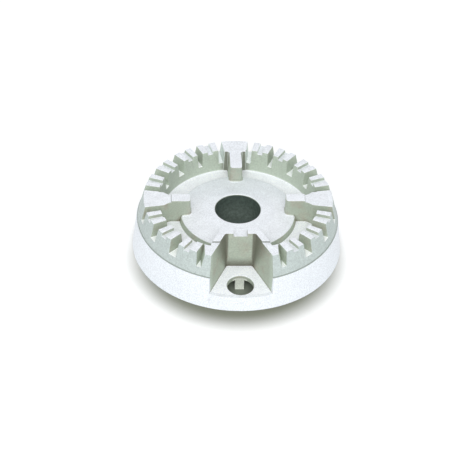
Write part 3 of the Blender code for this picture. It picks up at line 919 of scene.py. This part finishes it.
def readings(tree):  # everything that the zones are read from
    coords = addNode(tree, "ShaderNodeTexCoord").outputs
    place, normal = coords["Object"], coords["Normal"]
    x, y, z = split(tree, place)
    normalX, normalY, up = split(tree, normal)
    radius = compute(tree, "SQRT", compute(tree, "ADD", times(tree, x, x), times(tree, y, y)))
    ends = ((0, normal), (1, place))
    outwards = addNode(tree, "ShaderNodeVectorMath", ends, operation="DOT_PRODUCT").outputs["Value"]
    turning = compute(tree, "SUBTRACT", times(tree, normalX, y), times(tree, normalY, x))
    ends = (("Vector", place), ("Rotation", (0, 0, radians(alloy["scratchTurn"]))),
            ("Scale", alloy["scratchSize"]))
    turned = addNode(tree, "ShaderNodeMapping", ends).outputs[0]
    at = {"x": x, "y": y, "z": z, "up": up, "radius": radius, "outwards": outwards}
    at["aside"] = compute(tree, "ABSOLUTE", x)
    at["turning"] = compute(tree, "ABSOLUTE", turning)
    at["ahead"] = compute(tree, "SUBTRACT", -notch["back"], y)
    at["coneAt"] = compute(tree, "ADD", radius, times(tree, z, coneLean))
    at["pastNotchLine"] = compute(tree, "ADD", at["aside"], times(tree, y, alloy["notchSlope"]))
    for name in ("grain", "mottle", "blotch", "drift"):
        at[name] = noise(tree, place, *alloy[name])
    at["streaks"] = noise(tree, turned, *alloy["streaks"])
    at["facesUp"] = inZone(tree, at, "facesUp")
    at["inGap"] = inZone(tree, at, "gapFloors", "gapRing")
    at["onDisc"] = inZone(tree, at, "disc", "belowHeads")
    return at


def hollow(tree, reach, inside):  # 0 on open faces, rising towards corners, or towards edges from inside
    made = addNode(tree, "ShaderNodeAmbientOcclusion", (("Distance", reach),),
                   samples=alloy["hollowSamples"], inside=inside, only_local=True)
    return between(tree, made.outputs["AO"], *alloy["hollowRange"])


def heatFilm(tree, at):  # painted shade in the notch's back corners, at its back wall's foot, and beside the T's stem
    reach = inZone(tree, at, "cornerReach")
    corner = between(tree, compute(tree, "DIVIDE", at["ahead"], reach), *alloy["heatEdge"])
    corner = times(tree, corner, inZone(tree, at, "notchCorner"))
    foot = times(tree, inZone(tree, at, "backWallFoot", "nearBackWall"), alloy["heatAtFoot"])
    deepest = compute(tree, "MAXIMUM", corner, foot)
    inNotch = times(tree, inZone(tree, at, "notch", "notchWidth"), deepest)
    byStem = times(tree, inZone(tree, at, "barWall", "nearStem"), alloy["heatByStem"])
    return compute(tree, "MAXIMUM", inNotch, byStem)


def wallColour(tree, at):
    walls = blended(tree, inZone(tree, at, "castFilm"), alloy["cast"], alloy["film"])
    onFlank = inZone(tree, at, "sideways", "flankRing")
    byNotch = inZone(tree, at, "notchFlankInner", "notchFlankOuter", "notchFlankFront")
    paler = compute(tree, "MAXIMUM", byNotch, inZone(tree, at, "backFlanks"))
    walls = blended(tree, times(tree, onFlank, paler), walls, alloy["ringInside"])
    # painted shade on the step in the notch's wall
    onStep = inZone(tree, at, "stepFoot", "stepInner", "stepOuter", "stepFront")
    walls = blended(tree, onStep, walls, alloy["ledge"])
    # painted shade on the left of the ring's inside
    inside = scaled(tree, alloy["ringInside"], inZone(tree, at, "insideLeft"))
    walls = blended(tree, inZone(tree, at, "inwards", "insideWall"), walls, inside)
    # painted shade in the notch's corners and beside the T's stem
    walls = tinted(tree, walls, alloy["heat"], heatFilm(tree, at))
    barEnd = times(tree, onFlank, inZone(tree, at, "barEnd", "barBack"))
    walls = blended(tree, barEnd, walls, alloy["flank"])
    cone = scaled(tree, alloy["cone"], inZone(tree, at, "coneMottle"))
    return blended(tree, inZone(tree, at, "cone", "aboveLedge"), walls, cone)


def levelColour(tree, at):
    isLow = inZone(tree, at, "lowFloors")
    # painted light on the trough and the notch's floor
    level = blended(tree, isLow, alloy["pale"], alloy["low"])
    level = scaled(tree, level, inZone(tree, at, "levelMottle"))
    # painted light on the floors between the teeth
    level = blended(tree, times(tree, at["inGap"], without(tree, isLow)), level, alloy["gap"])
    # painted shade on the back of the disc
    return tinted(tree, level, alloy["dull"], times(tree, at["onDisc"], inZone(tree, at, "discBack")))


def withSkirt(tree, at, colour):  # skirt, with painted shade on the ledge and painted light on the rib below the notch
    colour = blended(tree, inZone(tree, at, "skirt", "skirtFace"), colour, alloy["skirt"])
    # painted shade along the ledge above the skirt
    colour = blended(tree, inZone(tree, at, "ledgeFoot", "ledgeTop", "ledgeFace"), colour, alloy["ledge"])
    # painted light on the rib seen through the hole
    return blended(tree, inZone(tree, at, "ribTop", "ribSides", "ribFront", "ribBack"), colour, alloy["rib"])


# painted shade inside the throat, darker towards its top
def withSoot(tree, at, colour):
    soot = blended(tree, inZone(tree, at, "sootDepth"), alloy["sootTop"], alloy["soot"])
    soot = scaled(tree, soot, inZone(tree, at, "sootMottle"))
    return blended(tree, inZone(tree, at, "bore", "belowMouth"), colour, soot)


def withWear(tree, at, colour):  # grain and scratches, with painted shade in inside corners and painted highlights on edges
    colour = scaled(tree, colour, inZone(tree, at, "grainShade"))
    scratches = times(tree, inZone(tree, at, "scratchLines", "scratched"), alloy["scratch"])
    colour = scaled(tree, colour, without(tree, scratches))
    inRing = inZone(tree, at, "besideNotch", "ringWalls")
    onWalls = between(tree, inRing, 0.0, 1.0, 1.0, alloy["creaseInGaps"])
    onLevel = between(tree, at["onDisc"], 0.0, 1.0, alloy["creaseOnPale"], alloy["creaseOnDisc"])
    onLevel = times(tree, onLevel, without(tree, at["inGap"]))
    share = addNode(tree, "ShaderNodeMix", ((0, at["facesUp"]), (2, onWalls), (3, onLevel))).outputs[0]
    # painted shade: inside corners darkened by how hollow they are
    creases = times(tree, hollow(tree, alloy["creaseReach"], False), share)
    colour = tinted(tree, colour, alloy["crease"], creases)
    # painted highlight along edges
    rims = compute(tree, "MULTIPLY_ADD", hollow(tree, alloy["rimReach"], True), alloy["rim"], 1.0)
    return scaled(tree, colour, rims)


def roughness(tree, at):
    rough = compute(tree, "ADD", inZone(tree, at, "roughDrift"), inZone(tree, at, "roughGrain"))
    plain = between(tree, at["facesUp"], 0.0, 1.0, alloy["wallRoughness"], alloy["roughness"])
    return compute(tree, "ADD", rough, plain)


def castAluminium():
    metal = bpy.data.materials.new("castAluminium")
    metal.use_nodes = True
    tree = metal.node_tree
    at = readings(tree)
    colour = blended(tree, at["facesUp"], wallColour(tree, at), levelColour(tree, at))
    colour = withWear(tree, at, withSoot(tree, at, withSkirt(tree, at, colour)))
    lowFloor = times(tree, at["facesUp"], inZone(tree, at, "gapFloors"))
    metallic = between(tree, lowFloor, 0.0, 1.0, alloy["metallic"], alloy["metallicLow"])
    ends = (("Height", at["grain"]), ("Distance", alloy["grainDepth"]), ("Strength", alloy["grainStrength"]))
    bump = addNode(tree, "ShaderNodeBump", ends).outputs[0]
    shader = tree.nodes["Principled BSDF"]
    for name, value in (("Base Color", colour), ("Metallic", metallic), ("Roughness", roughness(tree, at)),
                        ("Normal", bump)):
        tree.links.new(value, shader.inputs[name])
    return metal


crown.data.materials.clear()
crown.data.materials.append(castAluminium())
print("material made")


# Table, lamps and camera
studio = {
    "tableSize": 3.0,
    "table": (0.85, 0.86, 0.86, 1.0),
    "tableGlow": 0.30,                      # seen by the camera and in reflections only
    "shade": (0.19, 0.20, 0.155, 1.0),      # painted shadow: soft dark of the table at the crown's foot, on the camera's side
    "shadePlace": (-0.0004, -0.0089, 0.0),
    "shadeInside": 0.0306,
    "shadeOutside": 0.0450,
    "underPart": (0.24, 0.265, 0.22, 1.0),  # painted shade: the table under the crown, what little of it shows through the holes
    "underEdge": (0.034, 0.037),            # from the axis, where it becomes open table
    "sky": (1.0, 1.0, 1.0, 1.0),
    "skyStrength": 0.64,                    # for diffuse light; the camera and the metal see a white sky
    "lampSize": 0.6,
    "lampPower": 6.0,
    "lampPlace": (-0.06, -0.76, 0.72),
    "lens": 268.09,
    "sensorWidth": 36.0,
    "clipEnd": 20.0,
    "cameraPlace": (-0.06737, -1.01048, 0.82513),
    "cameraTurn": (50.9557, -1.8040, -2.3148),    # degrees about X, Y and Z
}


def cameraRays(tree):  # 1 for what the camera sees, directly or in a reflection
    path = addNode(tree, "ShaderNodeLightPath").outputs
    seen = compute(tree, "MAXIMUM", path["Is Camera Ray"], path["Is Glossy Ray"])
    return compute(tree, "MAXIMUM", seen, path["Is Transmission Ray"])


def tableColour(tree, openTable, shaded):
    direct = addNode(tree, "ShaderNodeLightPath").outputs["Is Camera Ray"]
    # painted shadow in front of the crown and painted shade under it, for camera rays only
    colour = blended(tree, shaded, studio["table"], studio["shade"])
    colour = blended(tree, openTable, studio["underPart"], colour)
    return blended(tree, direct, studio["table"], colour)


def paleLook():
    pale = bpy.data.materials.new("paleTable")
    pale.use_nodes = True
    tree = pale.node_tree
    tree.nodes.clear()
    place = addNode(tree, "ShaderNodeTexCoord").outputs["Object"]
    fromAxis = addNode(tree, "ShaderNodeVectorMath", ((0, place),), operation="LENGTH").outputs["Value"]
    fromShade = addNode(tree, "ShaderNodeVectorMath", ((0, place), (1, studio["shadePlace"])),
                        operation="DISTANCE").outputs["Value"]
    openTable = between(tree, fromAxis, *studio["underEdge"])
    shaded = between(tree, fromShade, studio["shadeOutside"], studio["shadeInside"])
    matte = addNode(tree, "ShaderNodeBsdfDiffuse", (("Color", tableColour(tree, openTable, shaded)),))
    lit = times(tree, cameraRays(tree), times(tree, openTable, studio["tableGlow"]), without(tree, shaded))
    glow = addNode(tree, "ShaderNodeEmission", (("Strength", lit),))
    both = addNode(tree, "ShaderNodeAddShader", ((0, matte.outputs[0]), (1, glow.outputs[0])))
    addNode(tree, "ShaderNodeOutputMaterial", ((0, both.outputs[0]),))
    return pale


def paleTable():
    bm = bmesh.new()
    bmesh.ops.create_grid(bm, x_segments=1, y_segments=1, size=studio["tableSize"])
    table = pieceFrom(bm, "tableTop")
    table.data.materials.append(paleLook())


def softSky():
    world = bpy.data.worlds.new("softSky")
    scene.world = world
    world.use_nodes = True
    tree = world.node_tree
    back = tree.nodes["Background"]
    strength = compute(tree, "MAXIMUM", studio["skyStrength"], cameraRays(tree))
    tree.links.new(strength, back.inputs["Strength"])
    back.inputs["Color"].default_value = studio["sky"]


def softBox():
    lampData = bpy.data.lights.new("softBox", "AREA")
    lampData.shape = "SQUARE"
    lampData.size = studio["lampSize"]
    lampData.energy = studio["lampPower"]
    lamp = bpy.data.objects.new("softBox", lampData)
    lamp.location = studio["lampPlace"]
    lamp.rotation_mode = "QUATERNION"
    lamp.rotation_quaternion = Vector(lamp.location).to_track_quat("Z", "Y")
    scene.collection.objects.link(lamp)


def photoCamera():
    cameraData = bpy.data.cameras.new("photoCamera")
    cameraData.sensor_width = studio["sensorWidth"]
    cameraData.lens = studio["lens"]
    cameraData.clip_end = studio["clipEnd"]
    camera = bpy.data.objects.new("photoCamera", cameraData)
    turn = Euler([radians(angle) for angle in studio["cameraTurn"]])
    camera.matrix_world = Matrix.Translation(studio["cameraPlace"]) @ turn.to_matrix().to_4x4()
    scene.collection.objects.link(camera)
    scene.camera = camera


paleTable()
softSky()
softBox()
photoCamera()
scene.view_settings.view_transform = "Standard"
print("studio made")
